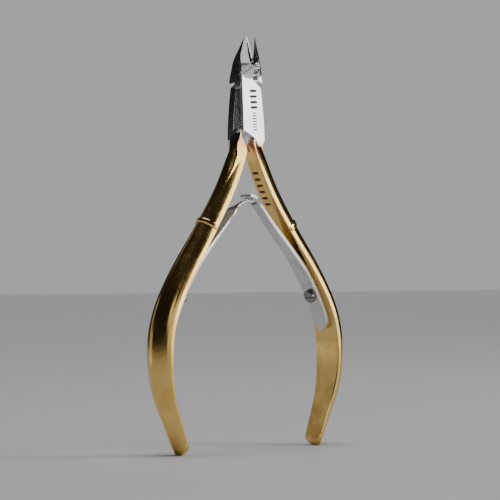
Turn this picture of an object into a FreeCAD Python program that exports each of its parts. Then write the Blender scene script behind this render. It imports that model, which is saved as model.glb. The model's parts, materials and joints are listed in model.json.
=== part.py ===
"""Cuticle nipper: two crossing levers on a rivet, held open by two interlocked leaf springs.

The tool stands on its two feet with the jaws up. X runs from the left handle to the right one,
the front of the tool faces -Y, and Z is up. The origin is on the ground midway between the feet.
The head is described with the jaws shut, where both cutting edges lie on X = 0, and each lever is
then turned about the rivet to where the springs hold it. Millimetres.
"""
import FreeCAD
import Part
import math
import os

from FreeCAD import Vector

# Driving dimensions
LENGTH = 110.0          # feet to jaw tips
PIVOT_Z = 90.3          # rivet axis above the ground
HALF_OPENING = 3.8      # degrees that each lever stands open, held by the springs
JOINT_T = 4.56          # thickness of the head, across Y
LAP_GAP = 0.02          # half of the slit between the two lap faces
EDGE_GAP = 0.03         # how far each cutting edge stays from X = 0 when shut
SIDE_BEVEL = 0.5        # bevel down the outer side of the head

RIVET_R = 1.5           # shank
RIVET_HEAD_R = 2.3      # countersunk head in the rear face
RIVET_HEAD_T = 0.8
RIVET_RUN_GAP = 0.03    # radial running clearance in the rear lever
RIVET_SKIN = 0.7        # metal left in front of the blind rivet hole

SPRING_T_FOOT = 1.5     # thickness of the strip where it is clamped
SPRING_T_TIP = 0.9      # and at its free end
SPRING_SEAT_GAP = 0.03  # foot to handle
SPRING_SPLIT_GAP = 0.12 # between the clamped foot and the blade that bends
FOOT_TOP_Z = 47.9       # height on the handle's face where the clamped foot ends

SCREW_Z = 41.6          # where the screw's axis meets the handle's face
SCREW_SHANK_R = 0.9
SCREW_HEAD_R = 1.85
SCREW_HEAD_T = 1.1
SCREW_HEAD_ROUND = 0.25 # rounding of the head's rim
SCREW_SLOT_W = 0.45
SCREW_SLOT_D = 0.55
SCREW_DEPTH = 2.4       # shank length in the handle
SCREW_HOLE_GAP = 0.05   # radial gap round the shank in the spring

BEAD_Z = 58.6           # half ring across the outer face of each handle
BEAD_W = 1.3
BEAD_H = 0.4
BEAD_START = 0.5        # distance from the flat face where the ring begins
HANDLE_BEVEL = 0.22     # along both edges of a handle's flat face

# Right handle, on the flat face that looks at the other handle, as it stands at rest:
# height, X of the face, width across Y, thickness, height of the straight side wall.
HANDLE = [
    (82.6, 0.70, 4.40, 3.9, 0.6),
    (79.6, 1.25, 4.52, 4.1, 0.5),
    (75.1, 2.96, 4.95, 4.4, 0.95),
    (70.8, 4.95, 5.25, 4.4, 1.2),
    (66.0, 7.60, 5.60, 4.4, 1.2),
    (60.3, 11.30, 6.15, 4.4, 1.2),
    (55.0, 14.95, 6.90, 4.4, 1.2),
    (49.5, 18.90, 7.70, 4.4, 1.2),
    (43.1, 23.05, 8.45, 4.35, 1.2),
    (36.7, 26.30, 8.95, 4.3, 1.15),
    (30.5, 28.00, 9.10, 4.2, 1.1),
    (24.0, 28.35, 9.10, 4.05, 1.0),
    (17.5, 27.75, 8.30, 3.75, 0.85),
    (12.0, 26.20, 7.30, 3.4, 0.65),
    (6.5, 24.05, 6.60, 3.0, 0.5),
    (0.5, 21.30, 5.80, 2.7, 0.4),
]
CROWN_POWER = 1.2           # 1 makes the outside of a section an ellipse, and more sharpens it
FOOT_END = (21.65, 0.684)   # X and Z of the rounded end on the flat face
FOOT_AIM_Z = 4.0            # height where the handle's direction sets the direction of the foot
FOOT_R = 2.9                # end radius seen square to the flat face
FOOT_EDGE_R = 1.35          # end radius seen from the front

# A jaw, jaws shut: height, then X and Y of eight corners, from the cutting edge round the front
# bevel, the outer side, the rear and the hollow-ground inner face. X is the distance from X = 0.
JAW = [
    (103.0, (EDGE_GAP, -4.30), (0.60, -3.62), (2.50, -2.16), (2.66, -1.80),
     (2.80, 1.05), (2.45, 1.40), (1.75, 1.25), (1.05, -1.40)),
    (105.3, (EDGE_GAP, -3.58), (0.48, -2.98), (2.17, -1.84), (2.28, -1.56),
     (2.30, 0.00), (2.12, 0.22), (1.82, 0.02), (1.05, -1.70)),
    (107.6, (EDGE_GAP, -2.95), (0.35, -2.60), (1.34, -1.84), (1.42, -1.62),
     (1.40, -0.92), (1.28, -0.78), (1.10, -0.95), (0.62, -1.85)),
    (109.2, (EDGE_GAP, -2.50), (0.20, -2.34), (0.74, -1.92), (0.78, -1.82),
     (0.77, -1.58), (0.70, -1.50), (0.58, -1.60), (0.33, -1.97)),
    (LENGTH, (EDGE_GAP, -2.33), (0.08, -2.28), (0.25, -2.12), (0.27, -2.07),
     (0.26, -1.99), (0.23, -1.96), (0.19, -1.99), (0.11, -2.13)),
]
# The root of a jaw that crosses in front, and of one that crosses behind, in the same form. Past
# X = 0 a root is trimmed to make room for the other lever, so its X may be negative there.
ROOT_FRONT = [
    (96.4, (-0.3, -2.24), (0.6, -2.24), (2.64, -2.24), (3.10, -1.86),
     (3.72, 1.80), (3.30, 2.28), (0.0, 2.28), (0.0, 0.0)),
    (98.6, (-0.9, -2.24), (0.6, -2.24), (2.56, -2.24), (3.02, -1.86),
     (3.60, 1.80), (3.15, 2.28), (0.0, 2.28), (-0.4, 0.0)),
    (100.2, (-1.2, -2.75), (0.6, -2.68), (2.50, -2.25), (2.85, -1.85),
     (3.40, 1.45), (2.90, 2.10), (0.0, 2.15), (-0.8, 0.0)),
    (101.6, (-1.0, -3.50), (0.7, -3.30), (2.50, -2.24), (2.73, -1.86),
     (3.12, 1.20), (2.65, 1.80), (0.7, 1.80), (-0.3, -0.6)),
]
ROOT_REAR = [
    (96.4, (-0.3, -2.28), (0.6, -2.28), (3.42, -2.28), (3.84, -1.88),
     (3.14, 1.80), (2.72, 2.22), (0.0, 2.22), (0.0, 0.0)),
    (98.6, (-0.9, -2.28), (0.6, -2.28), (3.28, -2.28), (3.72, -1.88),
     (3.10, 1.80), (2.65, 2.22), (0.0, 2.22), (-0.4, 0.0)),
    (100.2, (-1.2, -2.75), (0.6, -2.68), (3.05, -2.28), (3.48, -1.85),
     (3.05, 1.50), (2.55, 2.10), (0.0, 2.15), (-0.8, 0.0)),
    (101.6, (-1.0, -3.50), (0.7, -3.30), (2.80, -2.28), (3.15, -1.78),
     (2.95, 1.20), (2.50, 1.80), (0.7, 1.80), (-0.3, -0.6)),
]

# Outline of the plate that crosses in front, jaws shut, in runs from corner to corner: X, height.
TOP_EDGE = [(1.20, 98.5), (3.72, 96.2)]
RIGHT_EDGE = [(3.72, 96.2), (4.08, 90.5), (4.05, 82.1)]
BOTTOM_TIP = [(4.05, 82.1), (2.97, 80.65), (2.16, 80.6), (1.40, 81.4), (1.20, 82.2)]
SHOULDER = [(1.20, 82.2), (0.75, 82.7), (-0.54, 83.75), (-2.1, 84.7), (-3.50, 85.2)]
LEFT_EDGE = [(-3.50, 85.2), (-2.92, 100.2)]
LOBE = [(-0.4, 102.4), (0.85, 101.9), (1.14, 100.7), (1.20, 98.5)]
# Block behind the lap face at the root of the right handle, jaws shut: height, X of the step that
# faces the other lever, X of the outer side at the rear and at the lap face.
ROOT_BLOCK = [
    (85.1, 3.56, 3.60, 4.05),
    (84.0, 3.20, 3.36, 4.08),
    (82.65, 2.75, 3.58, 4.15),
    (81.1, 1.45, 4.25, 4.35),
    (79.3, 0.90, 4.35, 4.40),
]
# Flat that the head's rear face leaves on the right handle as it stands: X and height.
ROOT_FLAT = [(3.75, 82.7), (4.9, 81.2), (4.95, 78.2), (6.3, 75.1), (8.5, 71.3),
             (5.2, 75.4), (2.6, 78.5), (1.6, 80.3), (2.4, 81.6)]

# Right spring, on the face that looks down at the other handle: X, Z, width across Y.
BLADE = [
    (18.75, 47.0, 5.0),
    (15.00, 51.6, 4.1),
    (11.05, 55.9, 3.6),
    (7.20, 60.1, 3.3),
    (4.05, 63.9, 3.2),
    (1.95, 66.1, 3.9),
    (0.55, 67.0, 4.4),
    (-0.35, 67.1, 4.4),
]
FOOT_LOW_Z = 31.7
FOOT_W = 5.3
WINDOW_HALF_W = 1.25      # window in the right spring's end
TONGUE_HALF_W = 0.8       # tongue of the left spring, which hooks through it
TONGUE_T = 0.55
# Tongue, on its lower face, as it would lie on the right spring: X and height.
TONGUE = [(2.6, 65.0), (1.3, 65.65), (0.1, 66.0), (-1.2, 66.65), (-2.1, 67.15), (-2.9, 67.1),
          (-3.5, 66.6)]


def at(x, z, y=0.0):
    """Point from its place in the front view and its depth."""
    return Vector(x, y, z)


def turned(shape, degrees):
    """The shape turned about the rivet, clockwise as seen from the front."""
    copy = shape.copy()
    copy.rotate(Vector(0, 0, PIVOT_Z), Vector(0, 1, 0), degrees)
    return copy


def about_z(shape):
    """The shape turned half round about the vertical axis."""
    copy = shape.copy()
    copy.rotate(Vector(0, 0, 0), Vector(0, 0, 1), 180)
    return copy


def mirrored_x(shape):
    """The mirror image of the shape on the other side of X = 0."""
    return shape.mirror(Vector(0, 0, 0), Vector(1, 0, 0))


def curve_through(points):
    """Smooth curve through points."""
    curve = Part.BSplineCurve()
    curve.interpolate(points)
    return curve


def prism(outline, y_low, y_high):
    """Solid between two depths, from a closed outline in the front view."""
    points = [at(x, z, y_low) for x, z in outline]
    wire = Part.makePolygon(points + points[:1])
    return Part.Face(wire).extrude(Vector(0, y_high - y_low, 0))


def soft_prism(runs, y_low, y_high):
    """Like prism, from runs of points: a run of two is straight and a longer one is curved."""
    edges = []
    for run in runs:
        points = [at(x, z, y_low) for x, z in run]
        if len(points) == 2:
            edges.append(Part.makeLine(points[0], points[1]))
        else:
            edges.append(curve_through(points).toShape())
    return Part.Face(Part.Wire(edges)).extrude(Vector(0, y_high - y_low, 0))


def block_beyond(point, direction):
    """Large block that begins at a plane through the point and lies beyond it."""
    block = Part.makeBox(20, 20, 20, Vector(-10, -10, 0))
    turn = FreeCAD.Rotation(Vector(0, 0, 1), direction)
    block.Placement = FreeCAD.Placement(point, turn)
    return block


def end_rounding(centre, along, axis, radius):
    """What rounding an end takes away: a block beyond the centre, less a cylinder."""
    rod = Part.makeCylinder(radius, 30, centre - axis * 15, axis)
    return block_beyond(centre, along).cut(rod)


# Handles

HANDLE_LINE = curve_through([at(x, z) for z, x, _w, _t, _s in HANDLE])


def handle_place(z):
    """Point on the handle's flat face at a height, and the outward direction square to the face."""
    low, high = HANDLE_LINE.FirstParameter, HANDLE_LINE.LastParameter
    for _step in range(50):
        middle = (low + high) / 2
        if HANDLE_LINE.value(middle).z > z:
            low = middle
        else:
            high = middle
    down = HANDLE_LINE.tangent(low)[0]
    return HANDLE_LINE.value(low), Vector(-down.z, 0, down.x)


def handle_section(z, width, thick, wall, grow=0.0):
    """D-shaped section: flat inner face with small bevels, side walls, and a crowned outside."""
    origin, out = handle_place(z)
    half = width / 2 + grow
    bevel = HANDLE_BEVEL
    crown = thick + grow

    def p(y, o):
        return origin + out * o + Vector(0, y, 0)

    base = [p(-half, wall), p(-half, bevel), p(-half + bevel, 0), p(half - bevel, 0),
            p(half, bevel), p(half, wall)]
    edges = [Part.makeLine(base[i], base[i + 1]) for i in range(5)]
    points = []
    for i in range(9):
        a = math.pi * i / 8
        across = math.copysign(abs(math.cos(a)) ** CROWN_POWER, math.cos(a))
        points.append(p(half * across, wall + (crown - wall) * math.sin(a) ** CROWN_POWER))
    arc = curve_through(points)
    return Part.Wire(edges + [arc.toShape()])


def handle_size(z):
    """Width, thickness and wall height of the handle at a height."""
    for upper, lower in zip(HANDLE, HANDLE[1:]):
        if lower[0] <= z <= upper[0]:
            f = (upper[0] - z) / (upper[0] - lower[0])
            return [a + (b - a) * f for a, b in zip(upper[2:], lower[2:])]
    return list(HANDLE[-1][2:])


def handle_bar():
    """The right handle's curved bar, with its rounded foot."""
    bar = Part.makeLoft([handle_section(z, w, t, s) for z, _x, w, t, s in HANDLE], True, False)
    return bar.cut(foot_trims())


def foot_trims():
    """What rounding the foot takes away: square to the flat face, and seen from the front."""
    _place, out = handle_place(FOOT_AIM_Z)
    along = Vector(out.z, 0, -out.x)
    end = at(*FOOT_END)
    flat = end_rounding(end - along * FOOT_R, along, out, FOOT_R)
    edge_centre = end - along * FOOT_EDGE_R + out * FOOT_EDGE_R
    return [flat, end_rounding(edge_centre, along, Vector(0, 1, 0), FOOT_EDGE_R)]


def handle_bead():
    """Raised half ring across the outer face of the handle."""
    sections = []
    for share, grow in [(-0.5, -0.1), (-0.28, BEAD_H), (0.28, BEAD_H), (0.5, -0.1)]:
        z = BEAD_Z - share * BEAD_W
        width, thick, wall = handle_size(z)
        sections.append(handle_section(z, width, thick, wall, grow))
    ring = Part.makeLoft(sections, True, True)
    origin, out = handle_place(BEAD_Z)
    return ring.common(block_beyond(origin + out * BEAD_START, out))


# Head

def front_lap():
    """Half-thickness plate that crosses in front of the other lever, jaws shut."""
    bottom = [[start, end] for start, end in zip(BOTTOM_TIP, BOTTOM_TIP[1:])]
    runs = [TOP_EDGE, RIGHT_EDGE] + bottom + [SHOULDER, LEFT_EDGE, [LEFT_EDGE[1], LOBE[0]], LOBE]
    plate = soft_prism(runs, -JOINT_T / 2, -LAP_GAP)
    return plate.cut(side_bevel())


def side_bevel():
    """Wedge that bevels the outer side of the head, along its front edge."""
    y = -JOINT_T / 2
    (x_low, z_low), (x_high, z_high) = LEFT_EDGE

    def corner(x, z, dy):
        return at(x, z, y + dy)

    def triangle(x, z):
        pts = [corner(x + SIDE_BEVEL, z, 0), corner(x, z, 0.8 * SIDE_BEVEL),
               corner(x - 1, z, 0.8 * SIDE_BEVEL), corner(x - 1, z, -1),
               corner(x + SIDE_BEVEL, z, -1)]
        return Part.makePolygon(pts + pts[:1])

    return Part.makeLoft([triangle(x_low, z_low - 0.4), triangle(x_high, z_high)], True, True)


def jaw(root_rows, side):
    """A jaw and its root, jaws shut: side is -1 for the left one and 1 for the right one."""
    sections = []
    for row in root_rows + JAW:
        points = [Vector(side * x, y, row[0]) for x, y in row[1:]]
        sections.append(Part.makePolygon(points + points[:1]))
    return Part.makeLoft(sections, True, False)


def jaw_cove():
    """Groove under the heel of the left blade, wider towards the outer side."""
    start, end = Vector(-0.2, -3.85, 102.25), Vector(-2.5, -2.2, 100.1)
    r_start, r_end = 0.80, 0.50
    axis = end - start
    return Part.makeCone(r_start, r_end, axis.Length, start, axis).fuse(Part.makeSphere(r_start, start))


def rear_clearance():
    """Everything behind the lap face that the other lever's lap needs, jaws shut."""
    runs = [
        [(-8.0, 94.0), (-3.55, 97.75)],
        [(-3.55, 97.75), (-1.9, 98.8)],
        [(-1.9, 98.8), (-1.35, 99.7)],
        [(-1.35, 99.7), (-1.45, 100.5), (-2.05, 101.1), (-2.15, 102.0), (-1.5, 102.8), (-0.2, 103.4)],
        [(-0.2, 103.4), (4.0, 103.4)],
        [(4.0, 103.4), (8.0, 98.0)],
        [(8.0, 98.0), (8.0, 85.2)],
        [(8.0, 85.2), (3.56, 85.15)],
        [(3.56, 85.15), (3.15, 84.0)],
        [(3.15, 84.0), (2.7, 82.65)],
        [(2.7, 82.65), (0.9, 80.3)],
        [(0.9, 80.3), (0.9, 79.5)],
        [(0.9, 79.5), (-8.0, 79.5)],
        [(-8.0, 79.5), (-8.0, 94.0)],
    ]
    return soft_prism(runs, -LAP_GAP, 6.0)


def root():
    """Block behind the lap face where the right handle leaves the head, jaws shut."""
    sections = []
    for z, inner, rear_outer, outer in ROOT_BLOCK:
        points = [Vector(inner, -1.0, z), Vector(inner, JOINT_T / 2, z),
                  Vector(rear_outer, JOINT_T / 2, z), Vector(outer, 0.0, z), Vector(outer, -1.0, z)]
        sections.append(Part.makePolygon(points + points[:1]))
    return Part.makeLoft(sections, True, True)


def root_flat():
    """Flat that runs out along the outer part of the right handle, on the rear, as it stands."""
    return prism(ROOT_FLAT, 0.0, JOINT_T / 2)


def lever_pair():
    """Both levers at rest, without their holes."""
    bar = handle_bar().fuse([handle_bead(), root_flat()])
    front = jaw(ROOT_FRONT, -1).fuse([front_lap(), root()]).cut(jaw_cove())
    front = turned(front, -HALF_OPENING).fuse(bar)
    front = front.cut(turned(rear_clearance(), -HALF_OPENING))
    rear = jaw(ROOT_REAR, 1).fuse([about_z(front_lap()), about_z(root())])
    rear = turned(rear, HALF_OPENING).fuse(about_z(bar))
    rear = rear.cut(turned(about_z(rear_clearance()), HALF_OPENING))
    return front, rear


# Rivet

def rivet_rod(radius, y_low, y_high):
    """Cylinder on the rivet axis."""
    return Part.makeCylinder(radius, y_high - y_low, Vector(0, y_low, PIVOT_Z), Vector(0, 1, 0))


def rivet_cone(r_low, r_high, y_low, y_high):
    """Cone on the rivet axis."""
    return Part.makeCone(r_low, r_high, y_high - y_low, Vector(0, y_low, PIVOT_Z), Vector(0, 1, 0))


def rivet():
    """Headed rivet, set blind in the front lever and flush in the rear face."""
    y_end = -JOINT_T / 2 + RIVET_SKIN
    y_head = JOINT_T / 2 - RIVET_HEAD_T
    shank = rivet_rod(RIVET_R, y_end, y_head)
    return shank.fuse(rivet_cone(RIVET_R, RIVET_HEAD_R, y_head, JOINT_T / 2)).removeSplitter()


def rivet_hole_front():
    """Blind hole that the rivet is set in."""
    return rivet_rod(RIVET_R, -JOINT_T / 2 + RIVET_SKIN, 0.5)


def rivet_hole_rear():
    """Running hole and countersink of the rear lever."""
    radius = RIVET_R + RIVET_RUN_GAP
    y_head = JOINT_T / 2 - RIVET_HEAD_T - 0.05
    y_out = JOINT_T / 2 + 0.2
    slope = (RIVET_HEAD_R - RIVET_R) / RIVET_HEAD_T
    sink = rivet_cone(radius, radius + slope * (y_out - y_head), y_head, y_out)
    return rivet_rod(radius, -1.0, y_out).fuse(sink)


# Springs


def spring_width_slab(x_low, x_high):
    """Block with the spring's outline as seen from the side."""
    zs = [(FOOT_LOW_Z - 4, FOOT_W), (42.0, FOOT_W - 0.1)] + [(z, w) for _x, z, w in BLADE[:5]]
    right = curve_through([Vector(x_low, w / 2, z) for z, w in zs]).toShape()
    left = curve_through([Vector(x_low, -w / 2, z) for z, w in zs]).toShape()
    top_half = BLADE[-1][2] / 2
    neck = zs[-1][1] / 2
    neck_z = zs[-1][0]
    half_end = [(neck, neck_z), (neck, neck_z + 1.2), (top_half, neck_z + 2.3), (top_half, 72.0)]
    end = [Vector(x_low, y, z) for y, z in half_end]
    end += [Vector(x_low, -y, z) for y, z in reversed(half_end)]
    low_z, low_w = zs[0]
    bottom = Part.makeLine(Vector(x_low, -low_w / 2, low_z), Vector(x_low, low_w / 2, low_z))
    wire = Part.Wire([bottom, right] + Part.makePolygon(end).Edges + [left])
    return Part.Face(wire).extrude(Vector(x_high - x_low, 0, 0))


def strip(face, thick_start, thick_end, y_half):
    """Leaf of slowly changing thickness over a line of points on its lower face."""
    curve = curve_through(face)
    backs = []
    for i, point in enumerate(face):
        along = curve.tangent(curve.parameter(point))[0]
        out = Vector(along.z, 0, -along.x)
        share = i / (len(face) - 1)
        backs.append(point + out * (thick_start + (thick_end - thick_start) * share))
    back = curve_through(backs)
    ends = [Part.makeLine(face[-1], backs[-1]), Part.makeLine(backs[0], face[0])]
    shape = Part.Face(Part.Wire([curve.toShape(), ends[0], back.toShape(), ends[1]]))
    shape.translate(Vector(0, -y_half, 0))
    return shape.extrude(Vector(0, 2 * y_half, 0))


def seat_points(z_low, z_high, steps, lift):
    """Points over the handle's face, a distance above it."""
    points = []
    for i in range(steps + 1):
        place, out = handle_place(z_low + (z_high - z_low) * i / steps)
        points.append(place - out * lift)
    return points


def spring_foot():
    """Clamped end of the right spring, lying on the handle."""
    z_top = FOOT_TOP_Z - 0.75 * SPRING_SPLIT_GAP
    face = seat_points(FOOT_LOW_Z, z_top, 6, SPRING_SEAT_GAP + SPRING_T_FOOT)
    foot = strip(face, SPRING_T_FOOT, SPRING_T_FOOT, 4.0).common(spring_width_slab(5, 40))
    low_place, out = handle_place(FOOT_LOW_Z)
    along = Vector(out.z, 0, -out.x)
    centre = low_place - along * (FOOT_W / 2 - 0.1)
    foot = foot.cut(end_rounding(centre, along, out, FOOT_W / 2 + 0.05))
    spot_face = screw_rod(SCREW_HEAD_R + 0.1, -6, -SPRING_SEAT_GAP - SPRING_T_FOOT)
    return foot.cut([screw_rod(SCREW_SHANK_R + SCREW_HOLE_GAP, -6, 2), spot_face])


def blade_faces():
    """Points on the lower face of the part of a spring that bends."""
    start = seat_points(FOOT_TOP_Z, FOOT_TOP_Z + 1, 1, SPRING_SEAT_GAP + SPRING_T_FOOT)[0]
    return [start] + [at(x, z) for x, z, _w in BLADE[1:]]


def right_blade():
    """Bending part of the right spring, with the window in its curled end."""
    leaf = strip(blade_faces(), SPRING_T_FOOT, SPRING_T_TIP, 4.0).common(spring_width_slab(-3, 40))
    window = Part.makeBox(2.3, 2 * WINDOW_HALF_W, 5, at(0.45, 63.8, -WINDOW_HALF_W))
    return leaf.cut(window)


def left_blade():
    """Bending part of the left spring, with the tongue that hooks through the window."""
    face = blade_faces()[:5]
    body = strip(face, SPRING_T_FOOT, SPRING_T_TIP, 4.0).common(spring_width_slab(-3, 40))
    line = [face[-1] + at(0.4, -0.4)] + [at(x, z) for x, z in TONGUE]
    tongue = strip(line, TONGUE_T, TONGUE_T, TONGUE_HALF_W)
    return mirrored_x(body.fuse(tongue))


# Screws

def screw_rod(radius, start, end):
    """Cylinder on the right screw's axis, measured outwards from the handle's face."""
    place, out = handle_place(SCREW_Z)
    return Part.makeCylinder(radius, end - start, place + out * start, out)


def screw():
    """Slotted cheese-head screw that clamps the right spring."""
    seat = SPRING_SEAT_GAP + SPRING_T_FOOT
    head = screw_rod(SCREW_HEAD_R, -seat - SCREW_HEAD_T, -seat)
    rim = [edge for edge in head.Edges if isinstance(edge.Curve, Part.Circle)]
    place, out = handle_place(SCREW_Z)
    rim.sort(key=lambda edge: (edge.Curve.Center - place).dot(out))
    head = head.makeFillet(SCREW_HEAD_ROUND, rim[:1])
    corner = Vector(-SCREW_SLOT_D, -3, -SCREW_SLOT_W / 2)
    slot = Part.makeBox(SCREW_SLOT_D + 1, 6, SCREW_SLOT_W, corner)
    turn = FreeCAD.Rotation(Vector(1, 0, 0), -out)
    slot.Placement = FreeCAD.Placement(place - out * (seat + SCREW_HEAD_T), turn)
    shank = screw_rod(SCREW_SHANK_R, -seat, SCREW_DEPTH)
    return head.cut(slot).fuse(shank).removeSplitter()


def build():
    """Every node, at rest."""
    front, rear = lever_pair()
    screw_hole = screw_rod(SCREW_SHANK_R, -1, SCREW_DEPTH)
    right_screw = screw()
    right_foot = spring_foot()
    return {
        "front_lever": front.cut([screw_hole, rivet_hole_front()]),
        "rear_lever": rear.cut([mirrored_x(screw_hole), rivet_hole_rear()]),
        "pivot_rivet": rivet(),
        "right_spring_foot": right_foot,
        "right_spring_blade": right_blade(),
        "left_spring_foot": mirrored_x(right_foot),
        "left_spring_blade": left_blade(),
        "right_spring_screw": right_screw,
        "left_spring_screw": mirrored_x(right_screw),
    }


def main():
    os.makedirs("parts", exist_ok=True)
    for name, shape in build().items():
        shape.exportStep("parts/" + name + ".step")
        print(name, shape.isValid(), len(shape.Solids), "%.1f" % shape.Volume)


main()
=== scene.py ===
"""Looks of the cuticle nipper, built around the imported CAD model.

Metres, in the CAD's own frame. The tables of rows and marks further down are in millimetres.
"""

import json
import math

import bmesh
import bpy
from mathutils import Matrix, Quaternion, Vector

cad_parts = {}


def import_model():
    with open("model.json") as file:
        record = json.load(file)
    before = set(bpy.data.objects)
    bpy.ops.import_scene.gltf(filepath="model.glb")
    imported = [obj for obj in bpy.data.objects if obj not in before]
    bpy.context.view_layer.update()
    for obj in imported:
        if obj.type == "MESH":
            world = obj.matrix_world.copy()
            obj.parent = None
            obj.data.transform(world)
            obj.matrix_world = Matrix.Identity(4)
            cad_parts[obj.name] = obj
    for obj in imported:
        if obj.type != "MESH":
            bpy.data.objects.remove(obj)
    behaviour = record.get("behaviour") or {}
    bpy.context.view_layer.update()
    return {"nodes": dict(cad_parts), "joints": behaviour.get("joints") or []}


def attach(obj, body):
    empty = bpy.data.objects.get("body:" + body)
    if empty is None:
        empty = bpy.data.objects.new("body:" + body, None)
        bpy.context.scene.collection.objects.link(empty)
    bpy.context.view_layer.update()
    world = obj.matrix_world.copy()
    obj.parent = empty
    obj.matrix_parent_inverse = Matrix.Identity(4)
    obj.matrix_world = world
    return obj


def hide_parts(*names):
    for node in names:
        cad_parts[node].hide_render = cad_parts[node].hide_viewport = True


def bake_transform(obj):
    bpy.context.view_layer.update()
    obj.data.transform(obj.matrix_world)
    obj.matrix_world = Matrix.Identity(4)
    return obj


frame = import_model()

MM = 0.001
JOINTS = {joint["name"]: joint for joint in frame["joints"]}
PIVOT_Z = JOINTS["pivot"]["pos_m"][2]
REST_TURN = 3.8          # degrees that each lever stands open at rest


# Small helpers

def direction(azimuth, elevation):
    """Unit vector towards a place seen from the tool; azimuth 0 is the front, and 90 the right."""
    a, e = math.radians(azimuth), math.radians(elevation)
    return Vector((math.sin(a) * math.cos(e), -math.cos(a) * math.cos(e), math.sin(e)))


def new_object(name, data):
    obj = bpy.data.objects.new(name, data)
    bpy.context.scene.collection.objects.link(obj)
    return obj


def mesh_object(name, verts, faces, material, smooth=True):
    """Object from vertices in metres."""
    mesh = bpy.data.meshes.new(name)
    mesh.from_pydata([tuple(v) for v in verts], [], faces)
    mesh.validate()
    mesh.polygons.foreach_set("use_smooth", [smooth] * len(mesh.polygons))
    mesh.materials.append(material)
    mesh.update()
    return new_object(name, mesh)


# Node materials

class Nodes:
    """Short way to write a node tree."""

    def __init__(self, tree):
        self.tree = tree

    def add(self, kind, inputs=(), **settings):
        """New node; inputs are (socket, value or output) pairs."""
        node = self.tree.nodes.new("ShaderNode" + kind)
        for key, value in settings.items():
            setattr(node, key, value)
        for socket, value in inputs:
            if isinstance(value, bpy.types.NodeSocket):
                self.tree.links.new(value, node.inputs[socket])
            else:
                node.inputs[socket].default_value = value
        return node

    def math(self, operation, a, b=0.0, c=0.0):
        return self.add("Math", [(0, a), (1, b), (2, c)], operation=operation).outputs[0]

    def ramp_between(self, value, low, high, out_low=0.0, out_high=1.0):
        """Smooth step from one value to another."""
        return self.add("MapRange", [("Value", value), ("From Min", low), ("From Max", high),
                                     ("To Min", out_low), ("To Max", out_high)],
                        interpolation_type="SMOOTHSTEP").outputs["Result"]

    def mix(self, factor, a, b):
        """Mix of two colours."""
        return self.add("Mix", [("Factor", factor), ("A", a), ("B", b)],
                        data_type="RGBA").outputs["Result"]

    def noise(self, vector, scale, detail=3.0, rough=0.55):
        return self.add("TexNoise", [("Vector", vector), ("Scale", scale), ("Detail", detail),
                                     ("Roughness", rough)]).outputs["Fac"]

    def place(self, stretch=(1, 1, 1), turn=(0, 0, 0)):
        """Object coordinates, turned and then stretched along the axes."""
        coords = self.add("TexCoord").outputs["Object"]
        return self.add("Mapping", [("Vector", coords), ("Rotation", turn),
                                    ("Scale", stretch)]).outputs["Vector"]


def new_material(name):
    mat = bpy.data.materials.new(name)
    mat.use_nodes = True
    return mat, Nodes(mat.node_tree), mat.node_tree.nodes["Principled BSDF"]


BEVEL_SAMPLES = 6
RELIEF_DEPTH = 0.02 * MM
EDGE_WEAR_AND_HIGHLIGHT_SCALE = 900.0
EDGE_DOT = (0.93, 0.995)    # dot product of the true and the softened normal, on and off an edge


def finish_metal(nodes, shader, color, worn, rough, height, bump, edge_mm):
    """Wires colour, roughness, fine relief and softened edges into the shader; the edges are
    painted paler, partly as wear and partly as a painted edge highlight.
    """
    tree = nodes.tree
    shader.inputs["Metallic"].default_value = 1.0
    soft = nodes.add("Bevel", [("Radius", edge_mm * MM)], samples=BEVEL_SAMPLES).outputs["Normal"]
    true = nodes.add("NewGeometry").outputs["Normal"]
    flat = nodes.add("VectorMath", [(0, soft), (1, true)], operation="DOT_PRODUCT").outputs["Value"]
    # Paler colour along the edges, in patches: partly wear of the finish, partly a painted
    # highlight along the edges
    uneven = nodes.noise(nodes.place(), EDGE_WEAR_AND_HIGHLIGHT_SCALE, 3.0)
    patchy = nodes.ramp_between(uneven, 0.35, 0.65, 0.2, 0.8)
    edge = nodes.math("MULTIPLY", nodes.ramp_between(flat, *EDGE_DOT, 1.0, 0.0), patchy)
    color = nodes.mix(edge, color, worn)
    relief = nodes.add("Bump", [("Strength", bump), ("Distance", RELIEF_DEPTH), ("Height", height),
                                ("Normal", soft)]).outputs["Normal"]
    for socket, value in [("Base Color", color), ("Roughness", rough), ("Normal", relief)]:
        tree.links.new(value, shader.inputs[socket])


PATCH_SCALE = 140.0
SPECK_SCALE = 1500.0


def smudges(nodes):
    """Slow patches and small specks of wear, from 0 to 1."""
    slow = nodes.noise(nodes.place(), PATCH_SCALE, 4.0)
    specks = nodes.noise(nodes.place(), SPECK_SCALE, 2.0)
    return nodes.ramp_between(slow, 0.42, 0.66), nodes.ramp_between(specks, 0.62, 0.74)


# Colours of the plating, of the line where it ends, of bare steel and of the smaller parts
GOLD = (0.86, 0.57, 0.19, 1)
GOLD_DEEP = (0.78, 0.49, 0.14, 1)
GOLD_PALE = (0.92, 0.72, 0.38, 1)
# Cream laid along the gold's edges: partly worn plating, partly a painted edge highlight
GOLD_EDGE_WEAR_AND_HIGHLIGHT = (0.95, 0.84, 0.60, 1)
PLATING_EDGE = (0.86, 0.74, 0.50, 1)
TINT = (0.50, 0.19, 0.10, 1)
STEEL = (0.78, 0.78, 0.79, 1)
STEEL_DARK = (0.62, 0.62, 0.64, 1)
# Near white laid along the steel's edges: partly wear, partly a painted edge highlight
STEEL_EDGE_WEAR_AND_HIGHLIGHT = (0.93, 0.93, 0.93, 1)
STRIP = (0.70, 0.69, 0.68, 1)
STRIP_DULL = (0.60, 0.59, 0.58, 1)
STRIP_SPECK = (0.48, 0.46, 0.44, 1)
SCREW = (0.30, 0.29, 0.28, 1)
SCREW_DULL = (0.20, 0.19, 0.19, 1)
TURNED_SPECK = (0.30, 0.29, 0.28, 1)

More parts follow.
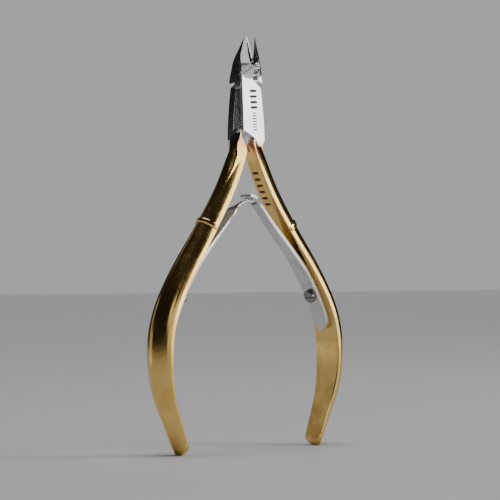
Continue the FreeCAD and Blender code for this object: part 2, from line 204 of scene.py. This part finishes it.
# Levels on the levers between which one finish gives way to the next
PLATING_END = (82.0 * MM, 83.0 * MM)
WARM_RISE = (76.5 * MM, 81.6 * MM)
WARM_FALL = (81.8 * MM, 84.6 * MM)
CREAM_FADE = (81.0 * MM, 88.0 * MM)
WANDER = 0.9 * MM           # how far those levels wander up and down
RING_PITCH = 0.11 * MM      # of the lathe's marks
LEVER_TILT = 0.55           # slope of the plating's end across the front lever


def lever_metal(name, tilt):
    """Gold plating below the joint and bare bright steel above it, with a warm tint between."""
    mat, nodes, shader = new_material(name)
    coords = nodes.add("TexCoord").outputs["Object"]
    xyz = nodes.add("SeparateXYZ", [("Vector", coords)]).outputs
    level = nodes.math("MULTIPLY_ADD", xyz["Y"], -tilt, xyz["Z"])
    wander = nodes.noise(nodes.place(), 420.0, 3.0)
    level = nodes.math("MULTIPLY_ADD", wander, WANDER, level)
    steel_part = nodes.ramp_between(level, *PLATING_END)
    warm_up = nodes.ramp_between(level, *WARM_RISE)
    warm_down = nodes.ramp_between(level, *WARM_FALL, 1.0, 0.0)
    warm = nodes.math("MULTIPLY", nodes.math("MULTIPLY", warm_up, warm_down), 0.62)

    patches, specks = smudges(nodes)
    gold = nodes.mix(patches, GOLD, GOLD_DEEP)
    gold = nodes.mix(nodes.math("MULTIPLY", specks, 0.12), gold, GOLD_PALE)
    steel = nodes.mix(nodes.math("MULTIPLY", patches, 0.55), STEEL, STEEL_DARK)
    cream = nodes.ramp_between(level, *CREAM_FADE, 0.45, 0.0)
    color = nodes.mix(steel_part, gold, nodes.mix(cream, steel, PLATING_EDGE))
    color = nodes.mix(warm, color, TINT)

    grain = nodes.noise(nodes.place((900, 900, 90)), 5.0, 4.0, 0.6)
    cross = nodes.noise(nodes.place((260, 900, 900), (0, 0.5, 0)), 4.0, 3.0, 0.6)
    lines = nodes.mix(steel_part, nodes.mix(0.35, grain, cross), nodes.mix(0.75, grain, cross))
    rough_gold = nodes.math("MULTIPLY_ADD", patches, 0.08, 0.15)
    rough_steel = nodes.math("MULTIPLY_ADD", grain, 0.10, 0.13)
    rough = nodes.add("Mix", [("Factor", steel_part), ("A", rough_gold), ("B", rough_steel)],
                      data_type="FLOAT").outputs["Result"]
    rough = nodes.math("MULTIPLY_ADD", specks, 0.04, rough)
    # Colour of the edges: partly wear, partly a painted edge highlight
    worn = nodes.mix(steel_part, GOLD_EDGE_WEAR_AND_HIGHLIGHT, STEEL_EDGE_WEAR_AND_HIGHLIGHT)
    finish_metal(nodes, shader, color, worn, rough, lines, bump=0.025, edge_mm=0.10)
    return mat


def strip_metal(name):
    """Satin spring steel, brushed along the strip."""
    mat, nodes, shader = new_material(name)
    patches, specks = smudges(nodes)
    brushed = nodes.noise(nodes.place((60, 2600, 60)), 3.0, 5.0, 0.65)
    color = nodes.mix(patches, STRIP, STRIP_DULL)
    color = nodes.mix(nodes.math("MULTIPLY", specks, 0.4), color, STRIP_SPECK)
    rough = nodes.math("MULTIPLY_ADD", brushed, 0.16, 0.28)
    finish_metal(nodes, shader, color, STEEL_EDGE_WEAR_AND_HIGHLIGHT, rough, brushed, bump=0.06, edge_mm=0.06)
    shader.inputs["Anisotropic"].default_value = 0.4
    return mat


def turned_metal(name, centre, axis, bright, dull):
    """Steel with faint rings round an axis, as left by a lathe."""
    mat, nodes, shader = new_material(name)
    coords = nodes.add("TexCoord").outputs["Object"]
    offset = nodes.add("VectorMath", [(0, coords), (1, tuple(centre))], operation="SUBTRACT")
    along = nodes.add("VectorMath", [(0, offset.outputs["Vector"]), (1, tuple(axis))],
                      operation="CROSS_PRODUCT")
    radius = nodes.add("VectorMath", [(0, along.outputs["Vector"])],
                       operation="LENGTH").outputs["Value"]
    rings = nodes.math("SINE", nodes.math("MULTIPLY", radius, 2 * math.pi / RING_PITCH))
    patches, specks = smudges(nodes)
    color = nodes.mix(patches, bright, dull)
    color = nodes.mix(nodes.math("MULTIPLY", specks, 0.4), color, TURNED_SPECK)
    rough = nodes.math("MULTIPLY_ADD", patches, 0.12, 0.17)
    finish_metal(nodes, shader, color, STEEL_EDGE_WEAR_AND_HIGHLIGHT, rough, rings, bump=0.12, edge_mm=0.06)
    return mat


def etched(name, fresh, faded):
    """Dull etched marking, uneven like a worn one."""
    mat, nodes, shader = new_material(name)
    worn = nodes.noise(nodes.place(), 2600.0, 3.0)
    color = nodes.mix(nodes.ramp_between(worn, 0.35, 0.75), fresh, faded)
    nodes.tree.links.new(color, shader.inputs["Base Color"])
    nodes.tree.links.new(nodes.math("MULTIPLY_ADD", worn, 0.2, 0.45), shader.inputs["Roughness"])
    shader.inputs["Metallic"].default_value = 0.3
    return mat


def dress(node, mat):
    """Gives a CAD node its material."""
    mesh = frame["nodes"][node].data
    mesh.materials.clear()
    mesh.materials.append(mat)


# Camera, stage and lights

VIEW_AZIMUTH = -40.0
VIEW_ELEVATION = -1.2
VIEW_DISTANCE = 0.52
FOCUS_Z = 0.0532
VIEW_WIDTH = 0.1333      # width of the view at the tool
VIEW_ROLL = -0.55        # degrees
VIEW_SHIFT = 0.00075     # target moved sideways from the axis of the tool
SENSOR_WIDTH = 36.0

FLOOR_SIDE = 40.0        # from the tool to each edge of the ground
FLOOR_PALE = (0.67, 0.67, 0.675, 1)
FLOOR_DULL = (0.64, 0.64, 0.645, 1)

# What the tool stands among: azimuth and elevation in degrees, angles within which a patch is
# full and beyond which it is gone, colour. A later patch covers an earlier one.
STUDIO_DARK = (0.013, 0.013, 0.0135, 1)
STUDIO_PATCHES = [
    (140, 0, 13, 24, (0.42, 0.42, 0.43, 1)),      # backdrop, behind the tool in the main view
    (-5, -2, 22, 28, (0.80, 0.80, 0.81, 1)),      # grey wall in front
    (34, 5, 13, 19, (3.6, 3.6, 3.62, 1)),         # bright window at the front right
    (-36, 25, 7, 14, (0.95, 0.95, 0.96, 1)),      # small card above the left front
    (-173, 42, 6, 14, (0.35, 0.35, 0.36, 1)),     # small card high up behind
    (0, 90, 8, 22, (5.6, 5.6, 5.7, 1)),           # ceiling light
]

# Name, azimuth, elevation, distance from the tool's axis, height, size, power in watts
LIGHTS = [
    ("low card", -140, 0, 0.16, 0.035, (0.10, 0.050), 0.0063),
    ("high card", -153, 0, 0.165, 0.084, (0.042, 0.050), 0.0027),
    ("key", 46, 30, 0.9, 0.055, (0.4, 0.4), 3.0),
]


def aim(obj, back, roll=0.0):
    """Turns a camera or light so that it looks against a direction."""
    obj.rotation_mode = "QUATERNION"
    lean = Quaternion(back, math.radians(roll))
    obj.rotation_quaternion = lean @ (-back).to_track_quat("-Z", "Y")


def camera():
    """Camera at the left front, level with the middle of the tool."""
    data = bpy.data.cameras.new("camera")
    data.sensor_width = SENSOR_WIDTH
    data.lens = data.sensor_width * VIEW_DISTANCE / VIEW_WIDTH
    data.clip_start, data.clip_end = 0.01, 100.0
    obj = new_object("camera", data)
    back = direction(VIEW_AZIMUTH, VIEW_ELEVATION)
    sideways = direction(VIEW_AZIMUTH + 90.0, 0.0)
    target = Vector((0.0, 0.0, FOCUS_Z)) + sideways * VIEW_SHIFT
    obj.location = target + back * VIEW_DISTANCE
    aim(obj, back, VIEW_ROLL)
    bpy.context.scene.camera = obj


def area_light(name, azimuth, elevation, distance, height, size, power):
    """Soft rectangular light that looks at a height on the tool's axis."""
    data = bpy.data.lights.new(name, "AREA")
    data.shape = "RECTANGLE"
    data.size, data.size_y = size
    data.energy = power
    obj = new_object(name, data)
    back = direction(azimuth, elevation)
    obj.location = Vector((0, 0, height)) + back * distance
    aim(obj, back)


def floor():
    """Plain pale ground with a faint grain."""
    mat, nodes, shader = new_material("floor")
    grain = nodes.noise(nodes.place(), 60.0, 4.0)
    color = nodes.mix(grain, FLOOR_DULL, FLOOR_PALE)
    nodes.tree.links.new(color, shader.inputs["Base Color"])
    shader.inputs["Roughness"].default_value = 0.55
    corners = [(FLOOR_SIDE * x, FLOOR_SIDE * y, 0) for x, y in ((-1, -1), (1, -1), (1, 1), (-1, 1))]
    mesh_object("floor", corners, [(0, 1, 2, 3)], mat, smooth=False)


def world():
    """Dark studio with a pale backdrop, a bright window at the front right and light above."""
    made = bpy.data.worlds.new("world")
    bpy.context.scene.world = made
    made.use_nodes = True
    nodes = Nodes(made.node_tree)
    toward = nodes.add("TexCoord").outputs["Generated"]

    def patch(azimuth, elevation, inner, outer):
        """1 near a direction and 0 away from it; the limits are angles in degrees."""
        dot = nodes.add("VectorMath", [(0, toward), (1, tuple(direction(azimuth, elevation)))],
                        operation="DOT_PRODUCT").outputs["Value"]
        return nodes.ramp_between(dot, math.cos(math.radians(outer)), math.cos(math.radians(inner)))

    color = STUDIO_DARK
    for azimuth, elevation, inner, outer, patch_color in STUDIO_PATCHES:
        color = nodes.mix(patch(azimuth, elevation, inner, outer), color, patch_color)
    background = made.node_tree.nodes["Background"]
    made.node_tree.links.new(color, background.inputs["Color"])
    background.inputs["Strength"].default_value = 1.0


floor()
world()
camera()
for light in LIGHTS:
    area_light(*light)


# Levers, rivet and screws keep the CAD meshes

dress("front_lever", lever_metal("front lever metal", LEVER_TILT))
dress("rear_lever", lever_metal("rear lever metal", -LEVER_TILT))
dress("pivot_rivet", turned_metal("rivet metal", (0, 0, PIVOT_Z), (0, 1, 0), STEEL, STEEL_DARK))


def screw_axis(node):
    """Centre of a screw and the direction of its axis, which leans in the XZ plane."""
    points = [Vector(v.co) for v in frame["nodes"][node].data.vertices]
    centre = sum(points, Vector()) / len(points)
    best = max(points, key=lambda p: (p - centre).length)
    return centre, Vector((best.x - centre.x, 0, best.z - centre.z)).normalized()


for screw in ("right_spring_screw", "left_spring_screw"):
    screw_centre, screw_line = screw_axis(screw)
    dress(screw, turned_metal(screw + " metal", screw_centre, screw_line, SCREW, SCREW_DULL))


# Leaf springs: each is one strip, where the CAD has a clamped foot and a blade

# From the clamped end to the free one, on the side that looks away from the handle:
# X, Z, thickness, half width. Given for the right-hand spring; the left one is mirrored.
SPRING_FOOT = [
    (26.29, 31.40, 1.50, 2.65),
    (25.76, 33.58, 1.50, 2.65),
    (24.88, 36.14, 1.50, 2.64),
    (23.42, 39.30, 1.50, 2.62),
    (21.73, 42.32, 1.50, 2.60),
    (19.97, 45.17, 1.50, 2.55),
    (18.73, 47.04, 1.50, 2.48),
]
RIGHT_LEAF = SPRING_FOOT + [
    (15.00, 51.60, 1.41, 2.05),
    (11.05, 55.90, 1.33, 1.80),
    (7.20, 60.10, 1.24, 1.65),
    (4.05, 63.90, 1.16, 1.60),
    (2.75, 65.36, 1.10, 1.66),
    (1.85, 66.20, 1.06, 2.15),
    (0.25, 67.06, 0.95, 2.20),
    (-0.35, 67.10, 0.90, 2.20),
]
LEFT_LEAF = SPRING_FOOT + [
    (15.00, 51.60, 1.35, 2.05),
    (11.05, 55.90, 1.20, 1.80),
    (7.20, 60.10, 1.05, 1.65),
    (4.05, 63.90, 0.88, 1.60),
    (3.45, 64.42, 0.68, 0.92),
    (2.60, 65.00, 0.56, 0.80),
    (1.30, 65.65, 0.55, 0.80),
    (0.10, 66.00, 0.55, 0.80),
    (-1.20, 66.65, 0.55, 0.80),
    (-2.10, 67.15, 0.55, 0.80),
    (-2.90, 67.10, 0.55, 0.80),
    (-3.50, 66.60, 0.55, 0.78),
]
WINDOW_ROWS = (11, 13)      # rows of RIGHT_LEAF between which its window lies
WINDOW_HALF_W = 1.25
EDGE_R = 0.20               # rounding along the edges of a strip
STEPS = 6                   # sections made from each row to the next
ROUND_STEPS = 9             # sections round the clamped end
TIP_ANGLES = (0.5, 1.0, 1.4)        # radians, for the sections that round off the free end
CORNER_POINTS = 4           # points round each corner of a section, 30 degrees apart
SHARP_ANGLE = 42            # degrees between faces, above which the edge is drawn sharp


def smooth_rows(rows, steps):
    """Rows with more rows between them, on smooth curves through the given ones."""
    rows = [Vector(row) for row in rows]
    gaps = [(b.xy - a.xy).length for a, b in zip(rows, rows[1:])]
    slopes = [(b - a) / gap for a, b, gap in zip(rows, rows[1:], gaps)]
    ends = [slopes[0]]
    for before, after, gap, next_gap in zip(slopes, slopes[1:], gaps, gaps[1:]):
        ends.append((before * next_gap + after * gap) / (gap + next_gap))
    ends.append(slopes[-1])
    made = []
    for i, gap in enumerate(gaps):
        for k in range(steps):
            t = k / steps
            row = rows[i] * (2 * t ** 3 - 3 * t ** 2 + 1) + rows[i + 1] * (3 * t ** 2 - 2 * t ** 3)
            row = row + ends[i] * gap * (t ** 3 - 2 * t ** 2 + t)
            row = row + ends[i + 1] * gap * (t ** 3 - t ** 2)
            made.append(row)
    made.append(rows[-1])
    return made


def strip_section(thick, half, inset):
    """Rounded oblong as (Y, distance from the outer side), with points at the window's edges."""
    half = max(half - inset, 0.05)
    low, high = inset, thick - inset
    radius = min(EDGE_R, 0.8 * half, 0.45 * (high - low))
    window = min(WINDOW_HALF_W, 0.78 * half)
    corners = [(half - radius, low + radius, -90), (half - radius, high - radius, 0),
               (radius - half, high - radius, 90), (radius - half, low + radius, 180)]
    points = []
    for i, (y, u, start) in enumerate(corners):
        for k in range(CORNER_POINTS):
            a = math.radians(start + 30 * k)
            points.append((y + radius * math.cos(a), u + radius * math.sin(a)))
        if i == 1:
            points += [(window, high), (-window, high)]
        if i == 3:
            points += [(-window, low), (window, low)]
    return points


def strip_stations(rows):
    """Place, direction, thickness, half width and inset of the sections, in three lists.

    They are the rounded clamped end, the strip itself and the rounded-off free end.
    """
    made = smooth_rows(rows, STEPS)
    stations = []
    for i, row in enumerate(made):
        before, after = made[max(i - 1, 0)], made[min(i + 1, len(made) - 1)]
        along = (after.xy - before.xy).normalized()
        stations.append([row.xy, along, row.z, row.w, 0.0])
    first, last = stations[0], stations[-1]
    tip = [[last[0] + last[1] * EDGE_R * math.sin(a), last[1], last[2], last[3],
            EDGE_R * (1 - math.cos(a))] for a in TIP_ANGLES]
    radius = first[3]
    start = []
    for k in range(1, ROUND_STEPS):
        a = math.pi / 2 * k / ROUND_STEPS
        place = first[0] + first[1] * radius * (1 - math.cos(a))
        start.append([place, first[1], first[2], radius * math.sin(a), 0.0])
    kept = [station for station in stations if (station[0] - first[0]).length > radius]
    return start, kept, tip


def leaf_spring(name, rows, mirror, window_rows, material):
    """One strip of spring steel. The window is left open between two of the given rows."""
    start, kept, tip = strip_stations(rows)
    stations = start + kept + tip
    offset = len(start) + len(kept) - (len(rows) - 1) * STEPS - 1
    verts, faces = [], []
    for place, along, thick, half, inset in stations:
        out = Vector((along.y, -along.x))
        for y, u in strip_section(thick, half, inset):
            point = place + out * u
            verts.append((mirror * point.x * MM, y * MM, point.y * MM))
    ring = len(verts) // len(stations)
    open_from, open_to = [offset + row * STEPS for row in window_rows or (0, 0)]
    top = 2 * CORNER_POINTS             # points of a section where the window's sides begin
    bottom = top + 2 + 2 * CORNER_POINTS
    for i in range(len(stations) - 1):
        a, b = i * ring, (i + 1) * ring
        is_open = open_from <= i < open_to
        for k in range(ring):
            n = (k + 1) % ring
            if not (is_open and k in (top, bottom)):
                faces.append((a + k, a + n, b + n, b + k))
        if is_open:
            faces.append((a + top, b + top, b + bottom + 1, a + bottom + 1))
            faces.append((a + top + 1, a + bottom, b + bottom, b + top + 1))
    if window_rows is not None:
        for i in (open_from, open_to):
            a = i * ring
            faces.append((a + top, a + top + 1, a + bottom, a + bottom + 1))
    faces.append(tuple(range(ring)))
    faces.append(tuple(range(len(verts) - ring, len(verts))))
    obj = mesh_object(name, verts, faces, material)
    made = bmesh.new()
    made.from_mesh(obj.data)
    bmesh.ops.recalc_face_normals(made, faces=made.faces)
    made.to_mesh(obj.data)
    made.free()
    obj.data.set_sharp_from_angle(angle=math.radians(SHARP_ANGLE))
    return obj


steel_strip = strip_metal("spring steel")
for side, mirror, rows, window_rows in (("right", 1, RIGHT_LEAF, WINDOW_ROWS),
                                        ("left", -1, LEFT_LEAF, None)):
    leaf = leaf_spring(side + "_leaf_spring", rows, mirror, window_rows, steel_strip)
    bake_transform(leaf)
    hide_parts(side + "_spring_foot", side + "_spring_blade")


# Plain etched marks, in place of lettering. Sizes are length and width in millimetres.

MARK_LIFT = 0.008           # how far a mark stands off the surface
RAY_START = 4               # how far before a face the search for it begins
DASH_POINTS = 16
DASH_POWER = 0.6            # below 1 a dash is squarer than an ellipse

PLATE_MARKS_X = 1.0         # from the line through the pivot and the jaws
PLATE_NEAR_Y = -2.4
BAR_HEIGHTS = (5.2, 3.7, 2.2, 0.8)          # above the pivot
BAR_SIZE = (2.5, 0.72)
SMALL_DASHES = 7
SMALL_DASH_TOP = -0.7
SMALL_DASH_PITCH = 0.74
SMALL_DASH_SIZE = (1.5, 0.32)

HANDLE_MARKS = [(3.55, 73.8), (4.30, 72.1), (5.15, 70.5),       # X and Z near the face
                (6.00, 68.9), (6.95, 67.2), (7.90, 65.6)]
HANDLE_MARK_Y = 0.5
HANDLE_MARK_SIZE = (0.80, 2.4)
HANDLE_UP = (-0.49, 0, 0.87)
HANDLE_OUT = (0.87, 0, 0.49)

DARK_ETCH = ((0.02, 0.02, 0.022, 1), (0.09, 0.09, 0.095, 1))    # fresh and faded
BROWN_ETCH = ((0.07, 0.014, 0.008, 1), (0.17, 0.05, 0.025, 1))


def surface_point(node, start, toward):
    """Where a line meets a CAD node, moved back a little so that a mark lies on the surface."""
    found, place, _normal, _face = frame["nodes"][node].ray_cast(Vector(start), Vector(toward))
    return place - Vector(toward) * MARK_LIFT * MM if found else None


def dash(centre, along, across, size, toward):
    """Outline of a rounded dash laid on the front lever."""
    length, width = [extent * MM for extent in size]
    points = []
    for k in range(DASH_POINTS):
        a = 2 * math.pi * k / DASH_POINTS
        u = math.copysign(abs(math.cos(a)) ** DASH_POWER, math.cos(a)) * length / 2
        v = math.copysign(abs(math.sin(a)) ** DASH_POWER, math.sin(a)) * width / 2
        start = centre + along * u + across * v - toward * RAY_START * MM
        point = surface_point("front_lever", start, toward)
        if point is None:
            return []
        points.append(point)
    return points


def marks(name, dashes, material):
    """Object of several dashes that moves with the front half."""
    verts, faces = [], []
    for points in dashes:
        if points:
            faces.append(tuple(range(len(verts), len(verts) + len(points))))
            verts += points
    obj = mesh_object(name, verts, faces, material, smooth=False)
    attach(obj, "front_half")


def plate_marks():
    """Short column of bars and a column of small dashes on the front plate."""
    lean = math.radians(-REST_TURN)
    up = Vector((math.sin(lean), 0, math.cos(lean)))
    across = Vector((math.cos(lean), 0, -math.sin(lean)))
    pivot = Vector((0, PLATE_NEAR_Y * MM, PIVOT_Z))
    toward = Vector((0, 1, 0))
    rows = [(height, BAR_SIZE) for height in BAR_HEIGHTS]
    rows += [(SMALL_DASH_TOP - SMALL_DASH_PITCH * i, SMALL_DASH_SIZE) for i in range(SMALL_DASHES)]
    made = []
    for height, size in rows:
        centre = pivot + up * height * MM + across * PLATE_MARKS_X * MM
        made.append(dash(centre, across, up, size, toward))
    return made


def handle_marks():
    """Row of small dashes up the flat face of the right handle."""
    along, across, toward = Vector(HANDLE_UP), Vector((0, 1, 0)), Vector(HANDLE_OUT)
    centres = [Vector((x * MM, HANDLE_MARK_Y * MM, z * MM)) for x, z in HANDLE_MARKS]
    return [dash(centre, along, across, HANDLE_MARK_SIZE, toward) for centre in centres]


marks("plate_marks", plate_marks(), etched("dark etching", *DARK_ETCH))
marks("handle_marks", handle_marks(), etched("brown etching", *BROWN_ETCH))
